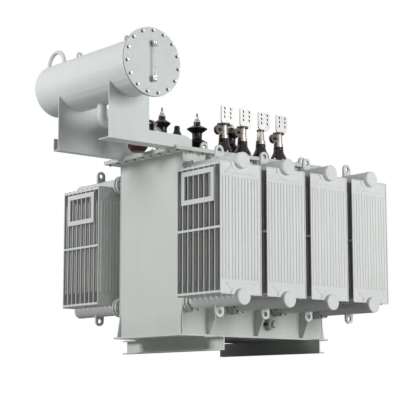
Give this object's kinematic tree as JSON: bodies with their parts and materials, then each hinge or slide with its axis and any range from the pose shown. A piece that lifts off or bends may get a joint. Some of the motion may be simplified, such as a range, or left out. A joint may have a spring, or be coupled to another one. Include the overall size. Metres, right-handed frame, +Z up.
{
  "type": "oil-filled power transformer",
  "caption": "Oil-filled power transformer on skids: bolted steel tank with panel radiators along both sides, end conservator on brackets, gas relay, porcelain bushings.",
  "frame": {"origin": "on the ground, in the middle of the tank and of its four foundation bolts", "axes": "+Z up, +X along the tank away from the conservator, +Y towards the high-voltage bushings"},
  "size_m": [1.932, 1.689, 1.934],
  "materials": {
    "tank_paint": "satin light grey enamel",
    "radiator_paint": "satin light grey enamel",
    "conservator_paint": "satin light grey enamel",
    "porcelain": "glossy dark brown glaze",
    "terminal_metal": "tinned, satin",
    "relay_paint": "red-brown enamel",
    "black_cap": "black, satin",
    "gauge_metal": "satin"
  },
  "bodies": {
    "root": {"skid_left": "tank_paint", "skid_right": "tank_paint", "base_plate": "tank_paint", "near_wall": "tank_paint", "far_wall": "tank_paint", "left_wall": "tank_paint", "right_wall": "tank_paint", "near_ribs": "tank_paint", "far_ribs": "tank_paint", "tank_cover": "tank_paint", "radiator_near_1": "radiator_paint", "radiator_near_2": "radiator_paint", "radiator_near_3": "radiator_paint", "radiator_near_4": "radiator_paint", "radiator_far_1": "radiator_paint", "radiator_far_2": "radiator_paint", "radiator_far_3": "radiator_paint", "radiator_far_4": "radiator_paint", "near_valves": "tank_paint", "far_valves": "tank_paint", "frame_rails": "radiator_paint", "frame_posts": "radiator_paint", "near_bracket": "conservator_paint", "far_bracket": "conservator_paint", "conservator_shell": "conservator_paint", "conservator_cover": "conservator_paint", "conservator_end": "conservator_paint", "oil_gauge": "gauge_metal", "breather_pipe": "conservator_paint", "conservator_eyes": "conservator_paint", "oil_pipe": "tank_paint", "gas_relay": "relay_paint", "relay_elbow": "tank_paint", "hv_insulator_1": "porcelain", "hv_insulator_2": "porcelain", "hv_insulator_3": "porcelain", "hv_terminals": "terminal_metal", "lv_insulator_1": "porcelain", "lv_insulator_2": "porcelain", "lv_insulator_3": "porcelain", "lv_insulator_4": "porcelain", "lv_terminal_1": "terminal_metal", "lv_terminal_2": "terminal_metal", "lv_terminal_3": "terminal_metal", "lv_terminal_4": "terminal_metal", "tap_changer": "black_cap", "cover_eyes": "tank_paint", "drain_valve": "tank_paint"}
  },
  "joints": []
}
